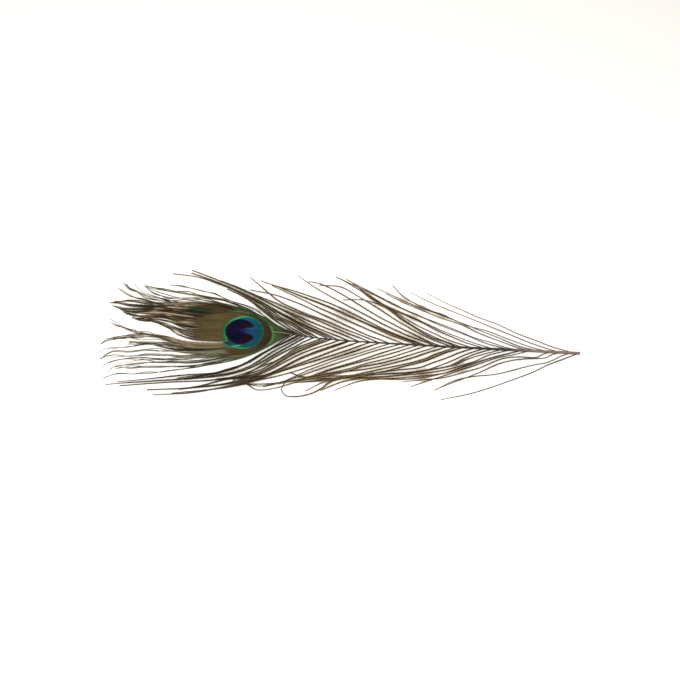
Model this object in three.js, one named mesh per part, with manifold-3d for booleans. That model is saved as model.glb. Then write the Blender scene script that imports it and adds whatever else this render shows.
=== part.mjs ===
// A peacock's tail feather cut to its last third, lying face up.
// The shaft, the eye and the loose barbs are grown together as one piece.
// Millimetres, +Z up. +X runs along the shaft from the eye to the cut quill.
// z = 0 is the surface that the feather lies on.
// The origin is on the flat underside of the shaft, between the quill and the eye, where restPoint lies.
import * as THREE from "three";
import { mergeVertices } from "three/addons/utils/BufferGeometryUtils.js";
import Module from "manifold-3d";

const wasm = await Module();
wasm.setup();

// The plan lists below count X and Y from where the eye's vane begins. This is the row's origin in them.
const restPoint = [24, 0.8];

// Shaft: a tapering rod with a flat underside, which the feather rests on.
const quillEnd = 188;
const shaftTip = -47;
const quillWidth = 2.4;
const quillHeight = 2.2;
const shaftTipWidth = 0.7;
const shaftTipHeight = 0.8;
const shaftTaper = 0.8; // below 1 the shaft thins evenly, then ends fine
const shaftSteps = 20;
const shaftSides = 6;
// Where the shaft's middle line runs, from the quill to its tip inside the eye.
const shaftLine = [
  [quillEnd, 0],
  [132, 0],
  [70, 0.2],
  restPoint,
  [0, 2],
  [-25, 4],
  [shaftTip, 4.6],
];

// Locks: each is a barb, or a few that cling together, as a flat tapering blade.
const lockRootWidth = 1.7;
const lockTipWidth = 0.7;
const lockRootHeight = 1.0;
const lockTipHeight = 0.5;
const lockSteps = 6;
const looseRise = 0.2; // the underside of a loose lock at its root
const crownRise = 0.9; // the underside of a crown lock at its root
const lockArch = 2.4; // the most that a lock bows up between its root and its tip
const archSpread = 0.45; // share of the arch that differs from one lock to the next
const archTurn = 2.4; // radians from one lock to the next in the sine that spreads the arches
const archLean = 0.8; // below 1 the arch is highest nearer the root

// Eye vane: a thin, slightly domed leaf around the shaft's end.
const eyeCentre = [-52, 5];
const eyeThickness = 1.0;
const eyeEdgeRise = 1.0; // its underside stands this far above the surface at the rim
const eyeDome = 1.6; // and this much more in the middle
const eyeRings = 3;
const eyeSides = 32;
const eyeHub = 0.12; // size of the innermost ring, as a share of the rim
// The rim in plan: the point on the shaft, the upper edge, the ragged end, the lower edge.
const eyeRim = [
  [-8, 2.6],
  [-22, 9],
  [-40, 19],
  [-60, 27],
  [-78, 30.5],
  [-96, 29],
  [-101, 20],
  [-98, 10],
  [-90, -1.5],
  [-97, -5],
  [-99, -12],
  [-92, -20],
  [-76, -22.5],
  [-58, -18.5],
  [-40, -12],
  [-22, -3],
];

// Loose barbs of the upper side, from the quill to the eye.
// For each: where along X it leaves the shaft, then the plan points that it passes.
const upperBarbs = [
  { root: 183, to: [[160, 7.5], [130, 20], [100, 33.5], [82, 43.5]] },
  { root: 176, to: [[150, 7.5], [120, 20.5], [90, 33], [70, 43]] },
  { root: 168, to: [[140, 7.5], [110, 19.5], [80, 30.5], [66, 38], [57, 48.5]] },
  { root: 160, to: [[130, 9], [105, 19.5], [72, 32], [46, 45]] },
  { root: 147, to: [[120, 8.5], [100, 14], [70, 25.5], [50, 36.5], [23, 52]] },
  { root: 139, to: [[110, 9], [88, 17.5], [66, 27], [40, 41], [16, 53]] },
  { root: 132, to: [[110, 7.2], [80, 17], [58, 27.5], [42, 35], [31, 46.5]] },
  { root: 125, to: [[100, 8], [78, 17], [52, 29], [36, 34.5], [21, 33.5]] },
  { root: 118, to: [[90, 9.5], [70, 18], [50, 30.5], [34, 42], [20, 51]] },
  { root: 109, to: [[90, 6.5], [70, 15.5], [56, 26], [41, 38], [28, 48]] },
  { root: 100, to: [[80, 7.2], [60, 18], [38, 33], [20, 44], [4, 45]] },
  { root: 92, to: [[70, 8.5], [50, 18.5], [26, 34.5], [6, 46], [-4, 47.5]] },
  { root: 86, to: [[60, 9.8], [40, 20], [10, 37], [-12, 52.5]] },
  { root: 80, to: [[60, 7], [30, 21], [0, 34], [-30, 43.5]] },
  { root: 74, to: [[50, 8.5], [20, 22.5], [-10, 35], [-38, 46]] },
  { root: 65, to: [[50, 5.5], [20, 18], [-10, 33], [-30, 42.5]] },
  { root: 54, to: [[30, 9], [0, 23], [-24, 33.5], [-45, 37.5]] },
  { root: 47, to: [[20, 10.5], [-10, 22], [-22, 28.5], [-46, 48.5]] },
  { root: 41, to: [[20, 8], [-10, 20], [-40, 33], [-66, 44.5]] },
  { root: 33, to: [[10, 9.2], [-20, 22], [-44, 34.5], [-58, 41]] },
  { root: 26, to: [[0, 10.5], [-30, 26], [-60, 40.5], [-88, 52]] },
  { root: 19, to: [[-10, 13.5], [-40, 29.5], [-68, 42], [-88, 49.5]] },
  { root: 12, to: [[-10, 11.5], [-40, 28], [-74, 43.5], [-101, 48]] },
  { root: 4, to: [[-10, 8.5], [-34, 22.5], [-60, 38]] },
];

// Loose barbs of the lower side, from the quill to the eye. Most of them bunch along the edge.
const lowerBarbs = [
  { root: 186, to: [[165, -10], [140, -22], [110, -34], [88, -40]] },
  { root: 180, to: [[162, -8.5], [135, -17], [105, -23], [84, -33]] },
  { root: 171, to: [[162, -5], [132, -10], [112, -19], [88, -31]] },
  { root: 163, to: [[140, -7], [110, -18], [90, -24.3], [62, -28]] },
  { root: 156, to: [[130, -7], [108, -15.5], [86, -24.5], [68, -31.5]] },
  { root: 150, to: [[120, -8], [92, -19.5], [62, -25.8], [34, -29.5], [17, -37]] },
  { root: 141, to: [[115, -8.5], [88, -18.5], [55, -25.3], [24, -30], [8, -37.5]] },
  { root: 132, to: [[105, -9.5], [75, -19.8], [42, -25], [12, -30.5], [-2, -38.5]] },
  { root: 123, to: [[95, -9.5], [68, -20.5], [36, -25], [-10, -29]] },
  { root: 114, to: [[84, -11], [58, -20], [30, -26.5], [4, -34], [-14, -42]] },
  { root: 105, to: [[77, -11.5], [50, -20], [22, -27], [-10, -33]] },
  { root: 97, to: [[70, -10.5], [44, -19.5], [14, -25.5], [-23, -34.5]] },
  { root: 89, to: [[60, -11.5], [32, -20.5], [8, -28], [-20, -34]] },
  { root: 81, to: [[55, -10.8], [28, -20.3], [4, -27.8], [-30, -37]] },
  { root: 75, to: [[45, -11.5], [18, -21], [-10, -32.5], [-38, -37.5]] },
  { root: 69, to: [[40, -11.5], [14, -22], [-2, -28.3], [-13, -25.5]] },
  { root: 62, to: [[34, -11], [8, -22], [-18, -33], [-48, -36]] },
  { root: 55, to: [[28, -11], [0, -23], [-22, -34], [-38, -38.5]] },
  { root: 48, to: [[18, -12.8], [-12, -26], [-42, -35], [-70, -42.5], [-100, -46]] },
  { root: 41, to: [[11, -13.3], [-20, -26], [-48, -37], [-88, -44.5]] },
  { root: 34, to: [[4, -13.5], [-26, -28.5], [-50, -35.5], [-84, -42]] },
  { root: 27, to: [[-3, -14], [-30, -29.5], [-54, -33.5], [-76, -40], [-104, -43]] },
  { root: 20, to: [[-6, -12], [-30, -27], [-50, -35], [-72, -39.5]] },
  { root: 14, to: [[-10, -11], [-34, -28], [-56, -32.5], [-90, -37], [-122, -41]] },
  { root: 8, to: [[-12, -9.5], [-34, -26], [-56, -33]] },
  { root: 2, to: [[-17, -10.5], [-36, -24.5], [-50, -33]] },
  { root: -3, to: [[-20, -10], [-38, -23.5], [-62, -31.5], [-96, -36]] },
  { root: -8, to: [[-28, -10], [-50, -25], [-84, -34.5], [-131, -40]] },
  { root: -9, to: [[-30, -10], [-56, -25.5], [-92, -32], [-124, -38]] },
];

// The eye's own barbs run on past the vane as the crown. Upper side, from the edge to the middle.
const upperCrown = [
  { root: -10, to: [[-40, 20.5], [-60, 29], [-80, 35.5], [-102, 38.5]] },
  { root: -11, to: [[-40, 19], [-60, 27], [-80, 32.5], [-100, 33.8], [-119, 37.3]] },
  { root: -14, to: [[-40, 16], [-80, 28.5], [-100, 29.2], [-119, 36.5]] },
  { root: -16, to: [[-42, 15.5], [-80, 26.5], [-100, 27], [-124, 33], [-133, 40]] },
  { root: -18, to: [[-44, 15], [-80, 24.5], [-106, 26], [-131, 36.5]] },
  { root: -20, to: [[-46, 14.5], [-80, 22.5], [-106, 23.8], [-136, 33]] },
  { root: -23, to: [[-48, 13.5], [-80, 20.5], [-114, 23.5], [-139.5, 21.5]] },
  { root: -26, to: [[-50, 12.5], [-80, 18.5], [-114, 20.5], [-139, 20.5]] },
  { root: -29, to: [[-52, 11.5], [-80, 15.5], [-114, 17.8], [-138, 18]] },
  { root: -33, to: [[-55, 10.5], [-84, 12.5], [-112, 15.5], [-133, 14]] },
  { root: -37, to: [[-60, 9.5], [-86, 8.5], [-106, 12.8], [-127, 12]] },
  { root: -41, to: [[-61, 6], [-85, 4.2], [-103, 9.6], [-123, 9]] },
  { root: -46, to: [[-60, -2.6], [-78, -3.6], [-92, 0.4], [-106, 7]] },
];

// Lower side of the crown, from the middle to the edge.
const lowerCrown = [
  { root: -46, to: [[-57, -4.4], [-84, -4.9], [-112, -1.7], [-128, 1.6], [-139, 8.4]] },
  { root: -42, to: [[-58, -5.6], [-93, -5.4], [-110, -3], [-130, -6.4], [-141, -11.2]] },
  { root: -36, to: [[-60, -6.6], [-90, -8.8], [-104, -8.6], [-121, -9.2]] },
  { root: -33, to: [[-60, -7.6], [-88, -11], [-106, -10.2], [-127, -13], [-139.5, -19.4]] },
  { root: -30, to: [[-58, -8.7], [-86, -13.4], [-108, -13.4], [-130, -16.4], [-138.5, -22]] },
  { root: -25, to: [[-52, -9.8], [-84, -17], [-108, -18.2], [-133, -20.6]] },
  { root: -21, to: [[-48, -11.3], [-80, -19.6], [-106, -20], [-127, -23], [-136.5, -29.6]] },
  { root: -18, to: [[-46, -12.7], [-80, -21.6], [-106, -22.6], [-124, -25.8], [-133, -31.4]] },
  { root: -16, to: [[-44, -13.6], [-76, -24.2], [-98, -26.2], [-127, -28.2]] },
  { root: -14, to: [[-42, -14.6], [-74, -25.6], [-104, -30.4], [-133, -36]] },
];

// A smooth line through plan points, all at z = 0.
function planCurve(points) {
  const spots = points.map(([x, y]) => new THREE.Vector3(x, y, 0));
  return new THREE.CatmullRomCurve3(spots, false, "centripetal");
}

// A closed skin over rings of points, each ring turning the same way, with a flat cap at both ends.
function skinOver(rings) {
  const sides = rings[0].length;
  const places = rings.flat().flat();
  const faces = [];
  for (let k = 0; k < rings.length - 1; k++) {
    for (let i = 0; i < sides; i++) {
      const a = k * sides + i;
      const b = k * sides + ((i + 1) % sides);
      faces.push(a, b, a + sides, b, b + sides, a + sides);
    }
  }
  const last = (rings.length - 1) * sides;
  for (let i = 1; i < sides - 1; i++) {
    faces.push(0, i + 1, i);
    faces.push(last, last + i, last + i + 1);
  }
  const skin = new THREE.BufferGeometry();
  skin.setAttribute("position", new THREE.Float32BufferAttribute(places, 3));
  skin.setIndex(faces);
  return skin;
}

function toSolid(geometry) {
  const bare = geometry.clone();
  bare.deleteAttribute("normal");
  bare.deleteAttribute("uv");
  const merged = mergeVertices(bare, 1e-4);
  const solid = new wasm.Manifold(
    new wasm.Mesh({
      numProp: 3,
      vertProperties: new Float32Array(merged.attributes.position.array),
      triVerts: new Uint32Array(merged.index.array),
    }),
  );
  return solid;
}

const shaftCurve = planCurve(shaftLine);

// The shaft's width and height at a place along X.
function shaftSize(x) {
  const towardsQuill = (x - shaftTip) / (quillEnd - shaftTip);
  const share = Math.pow(towardsQuill, shaftTaper);
  return {
    width: THREE.MathUtils.lerp(shaftTipWidth, quillWidth, share),
    height: THREE.MathUtils.lerp(shaftTipHeight, quillHeight, share),
  };
}

// The point of the shaft's middle line at a place along X, found by halving the line.
function shaftAt(x) {
  const halvings = 24;
  let low = 0;
  let high = 1;
  for (let i = 0; i < halvings; i++) {
    const middle = (low + high) / 2;
    if (shaftCurve.getPoint(middle).x > x) {
      low = middle;
    } else {
      high = middle;
    }
  }
  return shaftCurve.getPoint(low);
}

// The shaft as a rod. Each section is flat underneath and round on top.
function shaftSolid() {
  const rings = [];
  for (let k = 0; k <= shaftSteps; k++) {
    const spot = shaftCurve.getPointAt(k / shaftSteps);
    const along = shaftCurve.getTangentAt(k / shaftSteps);
    const { width, height } = shaftSize(spot.x);
    const ring = [];
    for (let i = 0; i < shaftSides; i++) {
      const turn = (Math.PI * i) / (shaftSides - 1);
      const aside = (Math.cos(turn) * width) / 2;
      const up = Math.sin(turn) * height;
      ring.push([spot.x - along.y * aside, spot.y + along.x * aside, up]);
    }
    rings.push(ring);
  }
  return toSolid(skinOver(rings));
}

// How high a lock's underside bows at a share of its length: nothing at the tip, which touches down.
function bow(share, number) {
  const own = 1 - archSpread * Math.abs(Math.sin(number * archTurn));
  return lockArch * own * Math.sin(Math.PI * Math.pow(share, archLean));
}

// A blade along a barb's plan points, flat underneath with a ridge on top.
// It runs from inside the shaft to its own tip.
function lockSolid({ root, to }, number, rootRise) {
  const start = shaftAt(root);
  const curve = planCurve([[start.x, start.y], ...to]);
  const rings = [];
  for (let k = 0; k <= lockSteps; k++) {
    const share = k / lockSteps;
    const spot = curve.getPointAt(share);
    const along = curve.getTangentAt(share);
    const halfWidth = THREE.MathUtils.lerp(lockRootWidth, lockTipWidth, share) / 2;
    const height = THREE.MathUtils.lerp(lockRootHeight, lockTipHeight, share);
    const under = rootRise * Math.pow(1 - share, 2) + bow(share, number);
    const side = [-along.y * halfWidth, along.x * halfWidth];
    rings.push([
      [spot.x - side[0], spot.y - side[1], under],
      [spot.x + side[0], spot.y + side[1], under],
      [spot.x, spot.y, under + height],
    ]);
  }
  return toSolid(skinOver(rings));
}

// The eye's vane: rings of the rim's outline drawn in towards the centre, on a domed top and underside.
function eyeSolid() {
  const rimSpots = eyeRim.map(([x, y]) => new THREE.Vector3(x, y, 0));
  const rim = new THREE.CatmullRomCurve3(rimSpots, true, "centripetal");
  const [cx, cy] = eyeCentre;
  const ringAt = (grow, top) => {
    const ring = [];
    for (let i = 0; i < eyeSides; i++) {
      const spot = rim.getPointAt(i / eyeSides);
      const dome = eyeDome * (1 - grow * grow);
      const thick = top ? eyeThickness : 0;
      ring.push([
        cx + (spot.x - cx) * grow,
        cy + (spot.y - cy) * grow,
        eyeEdgeRise + dome + thick,
      ]);
    }
    return ring;
  };
  const rings = [];
  for (let k = 0; k <= eyeRings; k++) {
    rings.push(ringAt(THREE.MathUtils.lerp(eyeHub, 1, k / eyeRings), false));
  }
  for (let k = eyeRings; k >= 0; k--) {
    rings.push(ringAt(THREE.MathUtils.lerp(eyeHub, 1, k / eyeRings), true));
  }
  return toSolid(skinOver(rings));
}

// Fuses the shaft, the eye and every lock into the one solid that a feather is.
function featherGeometry() {
  const pieces = [shaftSolid(), eyeSolid()];
  [...upperBarbs, ...lowerBarbs].forEach((barb, i) => pieces.push(lockSolid(barb, i, looseRise)));
  [...upperCrown, ...lowerCrown].forEach((barb, i) => pieces.push(lockSolid(barb, i, crownRise)));
  const whole = pieces.reduce((sum, piece) => sum.add(piece));
  // Locks that cross can seal in small pockets, each a shell of its own. Only the outer shell is kept.
  const larger = (a, b) => (b.volume() > a.volume() ? b : a);
  const outer = whole.decompose().reduce(larger);
  const mesh = outer.getMesh();
  const geometry = new THREE.BufferGeometry();
  geometry.setAttribute("position", new THREE.Float32BufferAttribute(mesh.vertProperties, 3));
  geometry.setIndex(new THREE.Uint32BufferAttribute(mesh.triVerts, 1));
  geometry.computeVertexNormals();
  return geometry;
}

const featherBrown = new THREE.MeshStandardMaterial({
  color: 0x5a4a34,
  roughness: 0.6,
  metalness: 0.1,
});

const feather = new THREE.Mesh(featherGeometry(), featherBrown);
feather.name = "feather";
feather.position.set(-restPoint[0], -restPoint[1], 0);

const part = new THREE.Group();
part.add(feather);
export default part;
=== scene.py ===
import math

import bpy
import numpy as np
from mathutils import Matrix, Vector


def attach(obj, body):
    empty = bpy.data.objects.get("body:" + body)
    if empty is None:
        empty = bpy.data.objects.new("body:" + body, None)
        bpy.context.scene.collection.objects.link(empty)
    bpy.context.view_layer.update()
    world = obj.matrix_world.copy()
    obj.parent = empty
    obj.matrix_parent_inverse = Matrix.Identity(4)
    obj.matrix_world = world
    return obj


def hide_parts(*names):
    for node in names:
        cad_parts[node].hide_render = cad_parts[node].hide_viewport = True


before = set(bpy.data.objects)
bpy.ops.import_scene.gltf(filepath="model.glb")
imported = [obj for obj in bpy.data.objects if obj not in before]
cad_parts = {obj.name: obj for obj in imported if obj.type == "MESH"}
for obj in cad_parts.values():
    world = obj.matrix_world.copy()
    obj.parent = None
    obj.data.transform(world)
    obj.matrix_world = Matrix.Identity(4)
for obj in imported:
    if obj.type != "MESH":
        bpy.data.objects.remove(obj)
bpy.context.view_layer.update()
print("frame loaded:", sorted(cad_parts))

mm = 0.001
# Plan points below are in mm, counted from where the eye's vane begins, with the eye toward -X.
# The frame's own origin lies at this plan point, on the surface.
restPoint = np.array((24.0, 0.8))
splineSteps = 24      # points worked out between two given points of a line
lineSteps = 180       # points along every barb
lowest = 0.03         # mm above the surface, for the lowest point of a barb


def smoothLine(points, count):
    # centripetal spline through plan points, read off at even steps of its length
    p = np.asarray(points, float)
    p = np.vstack([2 * p[0] - p[1], p, 2 * p[-1] - p[-2]])
    knots = np.concatenate([[0.0], np.cumsum(np.linalg.norm(np.diff(p, axis=0), axis=1) ** 0.5)])
    spots = []
    for i in range(1, len(p) - 2):
        t = np.linspace(knots[i], knots[i + 1], splineSteps, endpoint=False)[:, None]
        k0, k1, k2, k3 = knots[i - 1:i + 3]
        a1 = (k1 - t) / (k1 - k0) * p[i - 1] + (t - k0) / (k1 - k0) * p[i]
        a2 = (k2 - t) / (k2 - k1) * p[i] + (t - k1) / (k2 - k1) * p[i + 1]
        a3 = (k3 - t) / (k3 - k2) * p[i + 1] + (t - k2) / (k3 - k2) * p[i + 2]
        b1 = (k2 - t) / (k2 - k0) * a1 + (t - k0) / (k2 - k0) * a2
        b2 = (k3 - t) / (k3 - k1) * a2 + (t - k1) / (k3 - k1) * a3
        spots.append((k2 - t) / (k2 - k1) * b1 + (t - k1) / (k2 - k1) * b2)
    spots = np.vstack([*spots, p[-2]])
    return evenly(spots, count)


def evenly(spots, count):
    run = np.concatenate([[0.0], np.cumsum(np.linalg.norm(np.diff(spots, axis=0), axis=1))])
    at = np.linspace(0, run[-1], count)
    return np.stack([np.interp(at, run, spots[:, k]) for k in range(spots.shape[1])], 1)


def softStep(x, low, high):
    t = np.clip((np.asarray(x, float) - low) / (high - low), 0, 1)
    return t * t * (3 - 2 * t)


def leftOf(line):
    side = np.stack([-np.gradient(line[:, 1]), np.gradient(line[:, 0])], 1)
    return side / np.linalg.norm(side, axis=1)[:, None]


def wander(rng, count, knots, size):
    # a smooth random curve, for what varies along a barb
    return np.interp(np.linspace(0, knots - 1, count), np.arange(knots), rng.normal(0, size, knots))


shaft = {
    "line": [(188, 0), (132, 0), (70, 0.2), (24, 0.8), (0, 2.0), (-25, 4.0), (-47, 4.6)],
    "quillWidth": 2.1,
    "quillHeight": 2.1,
    "tipWidth": 0.4,
    "tipHeight": 0.3,
    "taper": 0.9,
    "spine": 0.4,        # how far it stands up between the eye's first barbs
    "spineByEye": (-30, -25),   # along X, where that is none and full, at the one end
    "spineByQuill": (0, -12),   # and at the other
    "ontoHump": (12, -22),      # where its underside leaves the surface and follows the eye's hump
    "runSteps": 600,
    "sides": 14,
    "steps": 150,
    "groove": 0.22,      # share of the height that the groove under the shaft cuts in
    "grooveEdge": 4,     # the higher, the narrower the groove
    "rim": 0.72,         # width of the pith, as a share of the cut end's
    "sunk": 0.35,        # how far the pith is set back
    "hornDark": (0.030, 0.019, 0.014),
    "hornPale": (0.18, 0.132, 0.120),
    # by the eye the horn is painted pale green: a green tint and a painted highlight in one colour
    "hornGreenHighlight": (0.14, 0.21, 0.11),
    "paleFrom": 132,     # where along X the dark horn turns pale
    "paleTo": 156,
    "greenHighlightAt": (-29, -26, -18, -11),  # where the green tint with its painted highlight comes in, is full, begins to go and is gone
    "mottle": (260, 4),  # grain and detail of the spots along the edge of the pale horn
    "mottleReach": 16,   # mm that they shift it
    "pith": (0.42, 0.36, 0.30),
    "pithGrain": (2500, 3),
    "pithShade": 0.5,    # its dark spots, as a share of its colour
}

# The eye's vane swells up a little, as one smooth hump that all its barbs lie on.
hump = {"centre": (-50, 5), "reach": (38, 24), "height": 1.7}


def humpAt(x, y):
    (cx, cy), (rx, ry) = hump["centre"], hump["reach"]
    return hump["height"] * np.exp(-(((x - cx) / rx) ** 2 + ((y - cy) / ry) ** 2))


shaftRun = smoothLine(shaft["line"], shaft["runSteps"])


def shaftY(x):
    return np.interp(x, shaftRun[::-1, 0], shaftRun[::-1, 1])


def shaftShare(x):
    # 0 at the tip in the eye, 1 at the cut quill
    tip, quill = shaft["line"][-1][0], shaft["line"][0][0]
    return np.clip((x - tip) / (quill - tip), 0, 1) ** shaft["taper"]


def shaftWidth(x):
    return shaft["tipWidth"] + (shaft["quillWidth"] - shaft["tipWidth"]) * shaftShare(x)


def shaftHeight(x):
    spine = shaft["spine"] * softStep(x, *shaft["spineByEye"]) * softStep(x, *shaft["spineByQuill"])
    return shaft["tipHeight"] + (shaft["quillHeight"] - shaft["tipHeight"]) * shaftShare(x) + spine


def shaftBottom(x):
    # flat on the surface, then up with the vane's hump towards the tip
    return humpAt(x, shaftY(x)) * softStep(x, *shaft["ontoHump"])


def shaftMiddle(x):
    return shaftBottom(x) + shaftHeight(x) * 0.5


# Each barb: where along X it leaves the shaft, then the plan points that it passes.
upperBarbs = {
    "name": "upper_barbs",
    "seed": 11,
    "guides": [
        (184, (169, 3.8), (160, 7.2), (146, 12.5), (130, 19.8), (100, 33.5), (82, 43.5)),
        (175, (166, 2), (151, 6.9), (138, 12.4), (120, 20.2), (90, 33), (70, 43)),
        (167, (156, 2), (140, 7.5), (122, 13.8), (110, 17.2), (101, 21.4), (80, 30.5), (66, 38), (57, 48.5)),
        (160, (148, 2.2), (135, 7), (120, 13.2), (107, 19), (72, 32), (46, 45)),
        (153, (144, 1.6), (130, 6.8), (116, 12), (107, 16.6), (94, 21.4), (74, 30), (52, 41)),
        (146, (135, 1.4), (125, 4.6), (114, 7.6), (101, 12.9), (70, 25.5), (50, 36.5), (23, 52)),
        (138, (121, 4.2), (110, 9), (88, 17.5), (66, 27), (40, 41), (16, 53)),
        (127, (112, 4.2), (102, 7.4), (85, 15), (58, 27.5), (42, 35), (31, 46.5)),
        (121, (107, 4), (98, 7.6), (88, 12), (76, 18.6), (52, 29), (36, 34.5), (21, 33.5)),
        (112, (94, 5.6), (85, 9.7), (70, 17.6), (50, 30.5), (34, 42), (20, 51)),
        (105, (85, 6.7), (70, 15.2), (56, 26), (41, 38), (28, 48)),
        (98, (82, 5.6), (60, 18), (38, 33), (20, 44), (4, 45)),
        (91, (81, 3), (70, 8.4), (50, 18.5), (26, 34.5), (6, 46), (-4, 47.5)),
        (86, (60, 9.8), (40, 20), (10, 37), (-12, 52.5)),
        (80, (60, 7), (30, 21), (0, 34), (-30, 43.5)),
        (74, (50, 8.5), (20, 22.5), (-10, 35), (-38, 46)),
        (65, (50, 5.5), (20, 18), (-10, 33), (-30, 42.5)),
        (54, (30, 9), (0, 23), (-24, 33.5), (-45, 37.5)),
        (47, (20, 10.5), (-10, 22), (-22, 28.5), (-46, 48.5)),
        (41, (20, 8), (-10, 20), (-40, 33), (-66, 44.5)),
        (33, (10, 9.2), (-20, 22), (-44, 34.5), (-58, 41)),
        (26, (0, 10.5), (-30, 26), (-60, 40.5), (-88, 52)),
        (19, (-10, 13.5), (-40, 29.5), (-68, 42), (-88, 49.5)),
        (12, (-10, 11.5), (-40, 28), (-74, 43.5), (-101, 48)),
        (5, (-8, 8.4), (-21, 15.7), (-31, 22.5), (-45, 31.5), (-63, 40)),
        (-5, (-11, 4.6), (-19, 9), (-27, 14.4), (-35, 20.9), (-45, 28.8), (-61, 37.6)),
    ],
    # Barbs between the guides: guide number, then how far to the next guide they are at root and tip.
    # Where that runs to 0 or 1 they cling to a guide as one darker lock.
    "between": [
        (10, 0.5, 0.1), (14, 0.5, 0.9), (22, 0.5, 0.15), (24, 0.35, 0.3), (24, 0.7, 0.65),
    ],
    # places where neighbours' barbules catch on each other in a brown veil: plan point, then its size
    "veils": [((66, 37), 4), ((80, 31.5), 5), ((93, 26), 5), ((40, 39), 4), ((48, 31), 4), ((57, 28.5), 5),
              ((72, 21.6), 5), ((24, 20), 9), ((-8, 17), 9)],
    "coreWidth": (0.72, 0.38),
    "barbule": 1.8,
    "barbuleEvery": 0.2,
    "barbuleWidth": 0.24,
    "thinBy": 0.2,       # the first barbs by the quill are this much finer
    "bareBy": 0.6,       # and carry this much less down
    "bareRoots": (80, 135),
    "bareStart": (9.0, 6.0),  # mm of bare stem at the root, by the quill and by the eye
    # barbs that are stouter than the rest, by where they leave the shaft
    "bold": {54: 1.1, 47: 1.1, 33: 1.2, 26: 1.3, 19: 1.3, 12: 1.2, 5: 1.25, -5: 1.25},
    "arch": 1.7,
    "splitAt": 84,       # barbs that leave the shaft beyond this go in the piece by the quill
}

lowerBarbs = {
    "name": "lower_barbs",
    "seed": 23,
    "guides": [
        (188, (178, -4.3), (171, -7.6), (154, -16), (138, -23), (110, -34), (88, -40)),
        (182, (172, -4), (162, -9.3), (154, -11.6), (130, -18.8), (105, -23), (84, -33)),
        (175, (168, -2.5), (163, -5.5), (149, -6.9), (131, -11), (117, -18), (88, -31)),
        (168, (162, -2.2), (156, -5.4), (145, -5.7), (133, -7.6), (112, -17), (90, -24.3), (62, -28)),
        (153, (138, -4.8), (126, -8.5), (108, -15.8), (86, -24.5), (68, -31.5)),
        (147, (133, -4.6), (119, -9.4), (106, -14.4), (92, -20.6), (62, -25.8), (34, -29.5), (17, -37)),
        (147, (133, -4.8), (119, -9.6), (106, -14.9), (91, -21.2), (66, -26.4), (44, -27.5), (22, -28.2),
         (6, -31)),
        (139, (124, -5.2), (113, -11), (101, -15.6), (88, -19.5), (55, -25.3), (24, -30), (8, -37.5)),
        (133, (120, -4.8), (106, -10.6), (98, -14.8), (75, -20.4), (42, -25), (12, -30.5), (-2, -38.5)),
        (127, (115, -4.3), (106, -8.7), (95, -15.1), (74, -20.9), (50, -25.8), (28, -27.6), (8, -28.8),
         (-8, -31.5)),
        (121, (106, -5.8), (97, -10.6), (86, -16), (74, -20.8), (60, -23), (36, -25.2), (-10, -29)),
        (114, (102, -4.7), (93, -9.3), (84, -13.5), (75, -17.8), (58, -21), (30, -26.5), (14, -31),
         (9, -35.5), (2, -40), (-8, -42.8), (-15, -42), (-17.3, -37.5), (-14.5, -32)),
        (106, (93, -5.1), (84, -9.8), (75, -13.8), (52, -20.8), (26, -26.8), (-6, -32)),
        (101, (86, -6.6), (77, -11.2), (50, -19.6), (22, -27), (-10, -33)),
        (95, (82, -5.4), (70, -10.5), (44, -19.2), (14, -25.5), (-23, -34.5)),
        (89, (60, -11.5), (32, -20.5), (8, -28), (-20, -34)),
        (81, (55, -10.8), (28, -20.3), (4, -27.8), (-30, -37)),
        (75, (45, -11.5), (18, -21), (-8, -32), (-24, -38), (-34, -39), (-40, -35.5)),
        (69, (40, -11.5), (14, -22), (-2, -28.3), (-13, -25.5)),
        (62, (34, -11), (8, -22), (-18, -33), (-48, -36)),
        (55, (28, -11), (0, -23), (-18, -33), (-31, -36.8), (-40, -35.5)),
        (48, (18, -12.8), (-12, -26), (-42, -35), (-70, -42.5), (-100, -46)),
        (41, (11, -13.3), (-20, -26), (-48, -37), (-88, -44.5)),
        (34, (4, -13.5), (-26, -28.5), (-50, -35.5), (-84, -42)),
        (27, (-3, -14), (-30, -29.5), (-54, -33.5), (-76, -40), (-104, -43)),
        (20, (-6, -12), (-30, -27), (-50, -35), (-72, -39.5)),
        (14, (-10, -11), (-34, -28), (-56, -32.5), (-90, -37), (-122, -41)),
        (8, (-12, -9.5), (-34, -26), (-56, -33)),
        (2, (-17, -10.5), (-36, -24.5), (-50, -33)),
        (-3, (-20, -10), (-38, -23.5), (-62, -31.5), (-96, -36)),
        (-8, (-28, -10), (-50, -25), (-84, -34.5), (-131, -40)),
        (-9, (-30, -11.6), (-42, -20.8), (-56, -27.2), (-92, -33), (-124, -38)),
        (-12, (-20, -2.8), (-26.5, -8.4), (-32.5, -13.6), (-40, -19.3), (-50, -24.2), (-65, -29.6),
         (-86, -33.6)),
    ],
    "between": [
        (24, 0.2, 0.1), (26, 0.5, 0.8), (29, 0.5, 0.2),
    ],
    "veils": [((104, -14.5), 6), ((77, -24), 5), ((10, -27.5), 6), ((-40, -34), 6)],
    "coreWidth": (0.72, 0.42),
    "barbule": 1.7,
    "barbuleEvery": 0.2,
    "barbuleWidth": 0.24,
    "thinBy": 0.15,
    "bareBy": 0.5,
    "bareRoots": (100, 150),
    "bareStart": (9.0, 2.5),
    "bold": {188: 1.3, 182: 1.3, 175: 1.3, 168: 1.3, 153: 1.2, 147: 1.4, 139: 1.3, 133: 1.3, 127: 1.5,
             121: 1.5, 114: 1.3, 106: 1.3, 101: 1.2, 95: 1.15, 75: 0.85, 62: 0.95, 55: 0.85, 41: 1.25,
             34: 1.25, 27: 1.45, 20: 1.35, 14: 1.45, 8: 1.35, 2: 1.45, -3: 1.35, -8: 1.5, -9: 1.3, -12: 1.2},
    "arch": 1.7,
    "splitAt": 84,
}

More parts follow.
